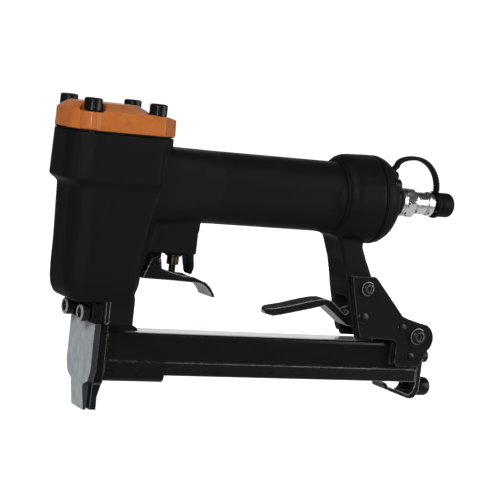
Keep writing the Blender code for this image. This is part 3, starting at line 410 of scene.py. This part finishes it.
def brushed_plate():
    """Ground tool steel with long brush marks and stains in front, and dark, chipped sides."""
    steel = Finish("nose_brushed_steel")
    shade, grain = (0.66, 0.71, 0.74), (4, 4, 0.12)
    brush = steel.noise(0.5, 5.0, 0.7, grain)
    broad = steel.noise(1.8, 3.0, 0.6, grain)
    stain = steel.noise(6.0, 4.0, 0.6)
    dark = tuple(0.70 * s for s in shade)
    base = steel.blend(steel.spread(broad, 0.32, 0.68), dark, shade)
    base = steel.blend(steel.spread(stain, 0.40, 0.65, 0.0, 0.5), base, tuple(1.3 * s for s in shade))
    base = steel.blend(steel.spread(brush, 0.30, 0.42, 0.45, 0.0), base, (0.12, 0.13, 0.14))
    front = steel.facing((-1, 0, 0), 0.45, 0.80)
    patches = steel.spread(steel.noise(1.2, 4.0, 0.7), 0.45, 0.62)
    chips = steel.join("MULTIPLY", steel.edges(0.9, 0.03, 0.25), patches)
    side = steel.blend(chips, (0.011, 0.014, 0.015), (0.22, 0.24, 0.25))
    base = steel.blend(front, side, base)
    steel.link(base, steel.shader.inputs["Base Color"])
    steel.link(steel.join("MULTIPLY", front, 0.55), steel.shader.inputs["Metallic"])
    steel.link(steel.spread(brush, 0.3, 0.7, 0.36, 0.52), steel.shader.inputs["Roughness"])
    steel.bump((brush, 0.012), (broad, 0.010))
    return steel.material


def bright_metal(name, colour, rough):
    """Plated or turned metal, with turning marks and finger smears."""
    metal = Finish(name)
    smear = metal.noise(2.5, 4.0, 0.6)
    rings = metal.noise(0.5, 3.0, 0.6, (3, 0.6, 0.6))
    base = metal.blend(metal.spread(smear, 0.35, 0.7), tuple(0.75 * c for c in colour), colour)
    metal.link(base, metal.shader.inputs["Base Color"])
    metal.put("Metallic", 1.0)
    metal.link(metal.spread(smear, 0.3, 0.7, rough, rough + 0.14), metal.shader.inputs["Roughness"])
    metal.bump((rings, 0.002))
    return metal.material


def moulded_rubber():
    """Dull black rubber with a little dust in its grain."""
    rubber = Finish("moulded_rubber")
    dust = rubber.spread(rubber.noise(3.0, 5.0, 0.7), 0.55, 0.75)
    base = rubber.blend(rubber.noise(1.2, 3.0), (0.0014, 0.0022, 0.0023), (0.0026, 0.0038, 0.0040))
    rubber.link(rubber.blend(rubber.join("MULTIPLY", dust, 0.2), base, (0.015, 0.018, 0.018)),
                rubber.shader.inputs["Base Color"])
    rubber.link(rubber.spread(dust, 0.0, 1.0, 0.55, 0.75), rubber.shader.inputs["Roughness"])
    rubber.put("Specular IOR Level", 0.1)
    rubber.bump((rubber.noise(0.25, 2.0), 0.01), (rubber.noise(1.5, 2.0), 0.02))
    return rubber.material


def make_finishes():
    nose_front = span("nose_screw_1", "x")[0]
    return {
        "cast": cast_paint(),
        "orange": cap_paint(),
        "oxide": oxide_steel("black_oxide", 0.3, 0.50, 0.66),
        "worn_oxide": oxide_steel("worn_black_oxide", 0.8, 0.15, 0.40, 0.009, 0.3),
        "nose_oxide": oxide_steel("nose_black_oxide", 0.8, 0.15, 0.40, 0.006, 0.3, nose_front),
        "magazine": coated_sheet("magazine_sheet", 0.0078, 0.14, polish_and_sheen=1.0, wear=(0.50, 0.66),
                                 zone=RUBBED_ZONE),
        "block": coated_sheet("front_block_sheet", 0.0060, 0.30, wear=(0.55, 0.70)),
        # The rail's heavier edge wear also paints a highlight line along its top edge.
        "rail": coated_sheet("rail_sheet", 0.0075, 0.30, wear=(0.30, 0.50)),
        "end_plate": coated_sheet("end_plate_sheet", 0.0060, 0.32, (5, 5, 1), 0.35, (0.31, 0, 0.95),
                                  (0.25, 0.45)),
        # The lever's faces that look forwards and down are painted bright as a highlight, and its heavy edge
        # wear paints light lines along its edges.
        "lever": coated_sheet("lever_sheet", 0.0026, 0.66, (2, 5, 5), 0.75, (-0.75, 0, -0.66), (0.25, 0.45)),
        "plate": brushed_plate(),
        "steel": bright_metal("bare_steel", (0.42, 0.43, 0.44), 0.26),
        "chrome": bright_metal("chrome_plating", (0.80, 0.82, 0.82), 0.16),
        "rubber": moulded_rubber(),
        "bronze": bright_metal("blackened_bronze", (0.055, 0.042, 0.030), 0.24),
        "aluminium": bright_metal("turned_aluminium", (0.62, 0.63, 0.64), 0.3),
    }


# ---------------------------------------------------------------- shapes


def new_object(name, solid, sharp=32):
    """An object from a bmesh, smooth but for edges past the sharp angle in degrees."""
    mesh = bpy.data.meshes.new(name)
    solid.to_mesh(mesh)
    solid.free()
    mesh.shade_smooth()
    mesh.set_sharp_from_angle(angle=math.radians(sharp))
    made = bpy.data.objects.new(name, mesh)
    bpy.context.scene.collection.objects.link(made)
    return made


def box_mesh(low, high):
    solid = bmesh.new()
    bmesh.ops.create_cube(solid, size=1.0)
    for corner in solid.verts:
        corner.co = Vector([low[k] if corner.co[k] < 0 else high[k] for k in range(3)])
    return solid


def round_shape(angle):
    return 1.0


def hex_shape(angle):
    """Distance to a hexagon's side, for a flat-to-flat radius of 1."""
    return 1.0 / math.cos((angle % (math.pi / 3)) - math.pi / 6)


def chamfered_hex(flat, most):
    """The hexagon cut off by a cone, for a nut's or plug's chamfered end."""
    def shape(angle):
        return min(hex_shape(angle), most / flat)
    return shape


def knurl(count, depth):
    """Straight grooves round a rim, as a share of the radius."""
    def shape(angle):
        return 1.0 - depth * abs(math.sin(count * angle / 2))
    return shape


def in_space(along, centre, place, radius, angle):
    """A point in metres, from its place along an axis and its radius and angle about it."""
    u = centre[0] + radius * math.cos(angle)
    v = centre[1] + radius * math.sin(angle)
    point = {"x": (place, u, v), "y": (u, place, v), "z": (u, v, place)}[along]
    return Vector(point) * MM


def lathe(name, along, centre, profile, steps=ROUND, sharp=32):
    """A turned piece in millimetres. Each profile entry is (place, radius) or (place, radius, shape)."""
    solid = bmesh.new()
    rings = []
    for entry in profile:
        place, radius = entry[:2]
        shape = entry[2] if len(entry) > 2 else round_shape
        if radius == 0:
            rings.append([solid.verts.new(in_space(along, centre, place, 0, 0))])
            continue
        ring = []
        for i in range(steps):
            angle = 2 * math.pi * i / steps
            ring.append(solid.verts.new(in_space(along, centre, place, radius * shape(angle), angle)))
        rings.append(ring)
    pairs = list(zip(rings, rings[1:]))
    if len(rings[0]) > 1 and len(rings[-1]) > 1:
        pairs.append((rings[-1], rings[0]))
    for first, second in pairs:
        for i in range(steps):
            j = (i + 1) % steps
            if len(first) == 1 and len(second) == 1:
                continue
            if len(first) == 1:
                solid.faces.new((first[0], second[j], second[i]))
            elif len(second) == 1:
                solid.faces.new((first[i], first[j], second[0]))
            else:
                solid.faces.new((first[i], first[j], second[j], second[i]))
    bmesh.ops.recalc_face_normals(solid, faces=solid.faces)
    return new_object(name, solid, sharp)


def round_section(radius):
    turns = [2 * math.pi * k / WIRE_SIDES for k in range(WIRE_SIDES)]
    return [(radius * math.cos(turn), radius * math.sin(turn)) for turn in turns]


def rounded_section(half_width, half_depth, radius):
    """A rectangle with round corners, anticlockwise."""
    points = []
    for quarter, (u, v) in enumerate(((1, 1), (-1, 1), (-1, -1), (1, -1))):
        for i in range(CORNER_STEPS + 1):
            angle = math.pi / 2 * (quarter + i / CORNER_STEPS)
            points.append((u * (half_width - radius) + radius * math.cos(angle),
                           v * (half_depth - radius) + radius * math.sin(angle)))
    return points


def tube_along(name, path, section, side=None):
    """A strip or wire: the section in millimetres is carried along points in metres."""
    solid = bmesh.new()
    rings = []
    last = len(path) - 1
    for i, point in enumerate(path):
        ahead = (path[min(i + 1, last)] - path[max(i - 1, 0)]).normalized()
        if side is None:
            side = ahead.orthogonal().normalized()
        side = (side - ahead * side.dot(ahead)).normalized()
        other = ahead.cross(side)
        rings.append([solid.verts.new(point + (side * u + other * v) * MM) for u, v in section])
    solid.faces.new(rings[0])
    solid.faces.new(rings[-1])
    for first, second in zip(rings, rings[1:]):
        for k in range(len(section)):
            j = (k + 1) % len(section)
            solid.faces.new((first[k], first[j], second[j], second[k]))
    bmesh.ops.recalc_face_normals(solid, faces=solid.faces)
    return new_object(name, solid, sharp=60)


def joined(name, pieces):
    """Several new objects as one."""
    solid = bmesh.new()
    for made in pieces:
        solid.from_mesh(made.data)
        bpy.data.objects.remove(made, do_unlink=True)
    return new_object(name, solid, sharp=40)


def finished(piece, finish):
    """The new piece takes a finish."""
    piece.data.materials.clear()
    piece.data.materials.append(finish)
    return piece


def stand_for(piece, node, finish):
    """The new piece replaces a CAD node, rides on its body and takes the given finish."""
    finished(piece, finish)
    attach(piece, BODY_OF[node])
    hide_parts(node)


# ---------------------------------------------------------------- castings


def cast_skin(name, node, voxel, smoothing, finish):
    """The CAD casting as one skin with round edges and filleted corners, as it comes from the die."""
    mesh = NODES[node].data.copy()
    mesh.name = name
    skin = bpy.data.objects.new(name, mesh)
    bpy.context.scene.collection.objects.link(skin)
    remesh = skin.modifiers.new("remesh", "REMESH")
    remesh.mode = "VOXEL"
    remesh.voxel_size = voxel * MM
    remesh.use_smooth_shade = True
    smooth = skin.modifiers.new("smooth", "SMOOTH")
    smooth.factor = 0.5
    smooth.iterations = smoothing
    graph = bpy.context.evaluated_depsgraph_get()
    made = bpy.data.meshes.new_from_object(skin.evaluated_get(graph))
    skin.modifiers.clear()
    skin.data = made
    made.shade_smooth()
    stand_for(skin, node, finish)


def rounded_node(node, finish, width):
    """A CAD piece kept as it is, with its sharp edges broken."""
    made = NODES[node]
    made.data.materials.clear()
    made.data.materials.append(finish)
    if width:
        weld = made.modifiers.new("weld", "WELD")
        weld.merge_threshold = WELD_DISTANCE
        bevel = made.modifiers.new("bevel", "BEVEL")
        bevel.width = width * MM
        bevel.segments = BEVEL_SEGMENTS
        bevel.limit_method = "ANGLE"
        bevel.angle_limit = BEVEL_ANGLE
        bevel.use_clamp_overlap = True
        bevel.harden_normals = False


# ---------------------------------------------------------------- screws and turned pieces


def span(node, axis):
    """(lowest, highest) place of a node along an axis, in millimetres."""
    low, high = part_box(node)
    k = "xyz".index(axis)
    return low[k] / MM, high[k] / MM


def centre_of(node, along):
    """The node's middle in the two directions across an axis, in millimetres."""
    others = [axis for axis in "xyz" if axis != along]
    return tuple(sum(span(node, axis)) / 2 for axis in others)


def socket_head(node, along, way, head_radius, head_height, shank_radius, finish="oxide", key_share=0.52):
    """Cap screw with a hexagon socket, a knurled head, a broken rim and a thread's lead."""
    low, high = span(node, along)
    top, tip = (high, low) if way > 0 else (low, high)
    seat = top - way * head_height
    grooves = knurl(32, 0.028)
    key = key_share * head_radius
    profile = [
        (top - way * head_height * 0.58, 0),
        (top - way * head_height * 0.52, key * 0.9, hex_shape),
        (top - way * 0.25, key, hex_shape),
        (top, key * 1.16),
        (top, head_radius - 0.75),
        (top - way * 0.12, head_radius - 0.5),
        (top - way * 0.55, head_radius - 0.06),
        (top - way * 0.75, head_radius, grooves),
        (seat + way * 0.75, head_radius, grooves),
        (seat + way * 0.55, head_radius - 0.06),
        (seat + way * 0.12, head_radius - 0.35),
        (seat, head_radius - 0.6),
        (seat, shank_radius),
        (tip + way * 0.6, shank_radius),
        (tip, shank_radius - 0.5),
        (tip, 0),
    ]
    piece = lathe(f"{node}_detail", along, centre_of(node, along), profile)
    stand_for(piece, node, FINISHES[finish])


def button_head(node, way, head_radius, head_height, shank_radius):
    """Low domed head with a hexagon socket, and a thin collar under it."""
    low, high = span(node, "y")
    top, tip = (high, low) if way > 0 else (low, high)
    seat = top - way * head_height
    key = 0.46 * head_radius
    profile = [
        (top - way * head_height * 0.75, 0),
        (top - way * head_height * 0.70, key * 0.92, hex_shape),
        (top - way * 0.15, key, hex_shape),
        (top, key * 1.18),
    ]
    for i in range(1, 7):
        turn = math.pi / 2 * i / 6
        rise = (head_height - 0.5) * (1 - math.cos(turn))
        reach = key * 1.18 + (head_radius - 0.3 - key * 1.18) * math.sin(turn)
        profile.append((top - way * rise, reach))
    profile += [
        (seat + way * 0.45, head_radius - 0.1), (seat + way * 0.3, head_radius), (seat, head_radius - 0.1),
        (seat, shank_radius), (tip + way * 0.6, shank_radius), (tip, shank_radius - 0.5), (tip, 0),
    ]
    stand_for(lathe(f"{node}_detail", "y", centre_of(node, "y"), profile), node, FINISHES["worn_oxide"])


def domed_pin(node, shank_radius, head_radius, crown, ends=(-1, 1)):
    """A pin along Y with a domed head at each end named, and a plain chamfered end otherwise."""
    low, high = span(node, "y")
    profile = []
    for way, face in ((-1, low), (1, high)):
        end = [(face, 0)]
        if way in ends:
            for i in range(1, 6):
                turn = math.pi / 2 * i / 5
                end.append((face - way * crown * (1 - math.cos(turn)), head_radius * math.sin(turn)))
            end += [(face - way * (crown + 0.15), head_radius), (face - way * (crown + 0.2), shank_radius)]
        else:
            end += [(face, shank_radius - 0.3), (face - way * 0.3, shank_radius)]
        profile += end if way < 0 else end[::-1]
    stand_for(lathe(f"{node}_detail", "y", centre_of(node, "y"), profile, 48), node, FINISHES["oxide"])


def hexagon_nut(node, flat, hole):
    """Nut with chamfered corners, from its half width across flats and its hole's radius."""
    low, high = span(node, "y")
    most = flat * 1.12
    profile = [
        (low, hole + 0.3), (low, flat * 0.96), (low + 0.35, flat, chamfered_hex(flat, most)),
        (low + 0.6, flat, hex_shape), (high - 0.9, flat, hex_shape),
        (high - 0.45, flat, chamfered_hex(flat, most)), (high, flat * 0.92), (high, hole + 0.5),
        (high - 0.5, hole), (low + 0.3, hole),
    ]
    stand_for(lathe(f"{node}_detail", "y", centre_of(node, "y"), profile), node, FINISHES["oxide"])


def make_screws():
    for number in range(1, 5):
        socket_head(f"cap_screw_{number}", "z", 1, 4.25, 6.1, 2.3)
    for number in (1, 2):
        socket_head(f"nose_screw_{number}", "x", -1, 4.1, 4.3, 2.3, "nose_oxide", 0.60)
    for number in range(1, 4):
        socket_head(f"end_cap_screw_{number}", "x", 1, 3.5, 4.0, 1.8)
    socket_head("end_plate_screw", "x", 1, 3.3, 6.1, 1.9)
    socket_head("strap_screw", "x", 1, 2.5, 2.0, 1.5)
    button_head("leg_bolt", -1, 3.7, 2.3, 2.6)
    button_head("cross_bolt", -1, 4.3, 2.7, 2.6)
    for node in ("leg_nut", "cross_nut"):
        hexagon_nut(node, 4.0, 2.9)
    domed_pin("latch_pin", 2.0, 3.2, 0.7)
    domed_pin("trigger_pin", 1.5, 2.4, 0.6, (-1,))
    for level in ("lower", "upper"):
        domed_pin(f"{level}_rivet_near", 1.8, 2.6, 0.4, (-1,))
        domed_pin(f"{level}_rivet_far", 1.8, 2.6, 0.4, (1,))


def make_pull_knob():
    """Turned knob with a straight knurl, screwed through the slide's end plate."""
    low, high = span("pull_knob", "x")
    grooves = knurl(36, 0.035)
    collar = high - 9.0
    profile = [
        (low, 0), (low, 1.6), (low + 0.3, 1.9), (collar, 1.9), (collar, 3.6), (collar + 0.9, 4.3),
        (collar + 1.7, 4.45), (collar + 2.0, 4.8), (collar + 2.3, 5.0, grooves), (high - 2.5, 5.0, grooves),
        (high - 2.1, 4.85), (high - 1.2, 4.5), (high - 0.5, 3.7), (high - 0.1, 2.4), (high, 0),
    ]
    knob = lathe("pull_knob_detail", "x", centre_of("pull_knob", "x"), profile)
    stand_for(knob, "pull_knob", FINISHES["oxide"])


# ---------------------------------------------------------------- air inlet


def make_air_plug():
    """Threaded neck, grooved collar, chamfered hexagon, barrel, ring and quick-connect nose."""
    low, high = span("air_plug", "x")
    bore = 2.6
    half_pitch, root, crest = 0.45, 4.85, 5.3
    profile = [(low, bore), (low, 4.9)]
    for i in range(14):
        profile.append((low + 0.3 + half_pitch * i, crest if i % 2 else root))
    collar = low + 6.9
    profile += [
        (collar, 5.2), (collar, 6.9), (collar + 0.3, 7.4), (collar + 0.9, 7.5), (collar + 1.1, 7.1),
        (collar + 1.4, 7.1), (collar + 1.6, 7.5), (collar + 2.2, 7.45), (collar + 2.6, 7.0),
    ]
    flat = 7.2
    start, end = collar + 3.0, high - 19.8
    for place, most in ((start, 7.0), (start + 0.35, 7.6), (start + 0.9, 8.4)):
        profile.append((place, flat, chamfered_hex(flat, most)))
    for place, most in ((end - 0.9, 8.4), (end - 0.35, 7.6), (end, 7.0)):
        profile.append((place, flat, chamfered_hex(flat, most)))
    profile += [
        (end + 0.3, 5.5), (end + 0.6, 5.1), (end + 1.4, 5.1), (end + 1.8, 5.7), (end + 2.1, 5.9),
        (high - 12.4, 5.9), (high - 12.0, 5.7), (high - 11.6, 5.0), (high - 11.0, 5.0), (high - 10.7, 5.9),
        (high - 10.2, 6.3), (high - 8.3, 6.3), (high - 7.7, 5.9), (high - 7.2, 5.2), (high - 6.4, 4.1),
        (high - 4.6, 4.1), (high - 4.2, 4.7), (high - 3.8, 5.0), (high - 1.4, 5.0), (high - 0.4, 4.4),
        (high, 3.8), (high, bore + 0.3), (high - 0.3, bore),
    ]
    plug = lathe("air_plug_detail", "x", centre_of("air_plug", "x"), profile, sharp=24)
    stand_for(plug, "air_plug", FINISHES["chrome"])


def make_dust_cap():
    """Moulded rubber cap with a rolled lip and a rounded end."""
    low, high = span("dust_cap", "x")
    inside = 5.5
    profile = [
        (low + 0.2, 6.2), (low, 6.6), (low + 0.3, 6.95), (low + 1.0, 7.15), (low + 1.8, 7.15),
        (low + 2.5, 6.9), (low + 2.9, 6.4), (low + 3.3, 6.15), (low + 3.8, 6.3), (low + 5.0, 6.35),
    ]
    for i in range(9):
        turn = math.pi / 2 * i / 8
        profile.append((high - 2.6 + 2.5 * math.sin(turn), 6.35 - 2.6 * (1 - math.cos(turn))))
    profile += [(high, 2.4), (high, 0), (high - 3.6, 0), (high - 3.8, inside - 0.4), (high - 4.2, inside)]
    profile += [(low + 1.8, inside), (low + 1.0, inside + 0.3)]
    cap = lathe("dust_cap_detail", "x", centre_of("dust_cap", "x"), profile, sharp=40)
    stand_for(cap, "dust_cap", FINISHES["rubber"])


def strap_route():
    """From the screw up and over to the dust cap, as two quarter ellipses that meet at the crown."""
    low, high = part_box("cap_strap")
    seat_z = sum(span("strap_screw", "z")) / 2
    seat_x, crown_x = low.x / MM + STRAP_INSET, STRAP_CROWN_X
    crown_z, rear_x = high.z / MM - STRAP_INSET, high.x / MM - STRAP_INSET
    cap_top = sum(span("dust_cap", "z")) / 2 + STRAP_OVER_CAP
    front_x, front_z = seat_x + 2.2, crown_z - STRAP_RISE
    points = [(seat_x, seat_z - 3.4), (seat_x, seat_z - 1.7), (seat_x, seat_z), (seat_x + 0.1, seat_z + 2.2)]
    points.append((seat_x + 0.5, seat_z + 3.6))
    for i in range(9):
        turn = math.pi / 2 * i / 8
        points.append((crown_x - (crown_x - front_x) * math.cos(turn), front_z + STRAP_RISE * math.sin(turn)))
    drop = crown_z - cap_top
    for i in range(1, 13):
        turn = math.pi / 2 * i / 12
        points.append((crown_x + (rear_x - crown_x) * math.sin(turn), cap_top + drop * math.cos(turn)))
    return [Vector((x, 0, z)) * MM for x, z in points]


def make_strap():
    """Rubber strap with an eye under its screw, moulded in one with the dust cap's lip."""
    route = strap_route()
    section = rounded_section(STRAP_HALF_WIDTH, STRAP_HALF_DEPTH, STRAP_CORNER)
    strip = tube_along("strip", route, section, Vector((0, 1, 0)))
    eye_x, eye_z = route[2].x / MM, sum(span("strap_screw", "z")) / 2
    eye = lathe("eye", "x", (0, eye_z), [
        (eye_x - 0.8, 1.8), (eye_x - 0.8, 3.3), (eye_x - 0.5, 3.6), (eye_x + 0.5, 3.6), (eye_x + 0.8, 3.3),
        (eye_x + 0.8, 1.8),
    ], 48)
    strap = finished(joined("cap_strap_detail", (strip, eye)), FINISHES["rubber"])
    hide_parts("cap_strap")
    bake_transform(strap)


# ---------------------------------------------------------------- springs


def coil(name, radius, wire, low, high, turns, along, centre):
    """Round wire wound with closed end turns, in millimetres."""
    steps = turns * COIL_STEPS
    dead = 1.0 / turns
    path = []
    for i in range(steps + 1):
        share = i / steps
        open_share = min(max((share - dead) / (1 - 2 * dead), 0.0), 1.0)
        lead = min(share / dead, 1.0) + max((share - 1 + dead) / dead, 0.0)
        place = low + wire + wire * lead + (high - low - 4 * wire) * open_share
        path.append(in_space(along, centre, place, radius, 2 * math.pi * turns * share))
    return tube_along(name, path, round_section(wire))


def make_spring(node, radius, wire, turns, along, finish="steel"):
    """A spring coiled in place of a CAD node, from the node's low end to its high end."""
    low, high = span(node, along)
    centre = centre_of(node, along)
    made = coil(f"{node}_detail", radius, wire, low, high, turns, along, centre)
    finished(made, FINISHES[finish])
    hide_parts(node)
    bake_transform(made)


def make_springs():
    make_spring("valve_spring", 2.5, 0.3, 6, "z")
    make_spring("head_valve_spring", 7.3, 0.5, 4, "z", "oxide")
    make_spring("pusher_spring", 2.6, 0.35, 44, "x")
    low, high = span("latch_spring", "y")
    spring = coil("latch_spring_detail", 3.0, 0.4, low, high, 7, "y", centre_of("latch_spring", "y"))
    stand_for(spring, "latch_spring", FINISHES["oxide"])


# ---------------------------------------------------------------- marks


def make_block_mark():
    """The narrow U-shaped bead cast on the lower block's near side."""
    left, right, foot, halfway, top = -0.5, 1.3, 42.9, 50.0, 54.0
    middle, bend = (left + right) / 2, (right - left) / 2
    points = [(left, top), (left, halfway), (left, foot + bend)]
    for i in range(1, 8):
        turn = math.pi * (1 + i / 8)
        points.append((middle + bend * math.cos(turn), foot + bend + bend * math.sin(turn)))
    points += [(right, foot + bend), (right, halfway), (right, top + 0.3)]
    path = [Vector((x, BLOCK_SIDE, z)) * MM for x, z in points]
    bead = tube_along("block_mark", path, round_section(MARK_RADIUS))
    finished(bead, FINISHES["worn_oxide"])
    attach(bead, "gun")


def dress_nodes():
    """The CAD pieces whose shape stays, with their finish and how far their edges are broken."""
    rows = [
        ("cap_gasket", "rubber", 0), ("end_cap_gasket", "rubber", 0), ("bumper", "rubber", 0.4),
        ("piston_ring", "rubber", 0), ("cylinder_liner", "aluminium", 0.2), ("piston", "aluminium", 0.2),
        ("head_valve", "aluminium", 0.2), ("driver_blade", "steel", 0.1), ("valve_bush", "bronze", 0.15),
        ("valve_stem", "oxide", 0.1), ("trigger", "lever", 0.35), ("guide_rod", "steel", 0.1),
        ("front_guide_plate", "plate", 0.3), ("rear_guide", "rail", 0.25), ("guide_clamp", "oxide", 0.35),
        ("magazine_channel", "magazine", 0.25), ("magazine_front_block", "block", 0.45),
        ("magazine_front_lug", "block", 0.25), ("staple_rail", "rail", 0.25), ("pusher", "steel", 0.2),
        ("end_plate", "end_plate", 0.35), ("latch_lever", "lever", 0.5), ("hanger_plate_near", "cast", 0.45),
        ("hanger_plate_far", "cast", 0.45), ("saddle_block", "cast", 0.4),
    ]
    for node, finish, width in rows:
        rounded_node(node, FINISHES[finish], width)


FINISHES = make_finishes()
make_camera()
make_world()
make_light("key", (-0.85, -0.60, 0.75), (0.5, 0.5), 13.0)
make_light("fill", (1.1, -0.75, 0.35), (0.9, 0.8), 12.0)
make_light("strip", (-0.66, -1.15, 0.26), (0.05, 0.40), 5.0)
make_floor()
dress_nodes()
cast_skin("housing_skin", "gun_housing", HOUSING_VOXEL, 8, FINISHES["cast"])
cast_skin("cap_skin", "cylinder_cap", CAP_VOXEL, 6, FINISHES["orange"])
cast_skin("end_cap_skin", "end_cap", CAP_VOXEL, 8, FINISHES["cast"])
make_screws()
make_pull_knob()
make_air_plug()
make_dust_cap()
make_strap()
make_springs()
make_block_mark()
bpy.context.scene.view_settings.view_transform = "Standard"
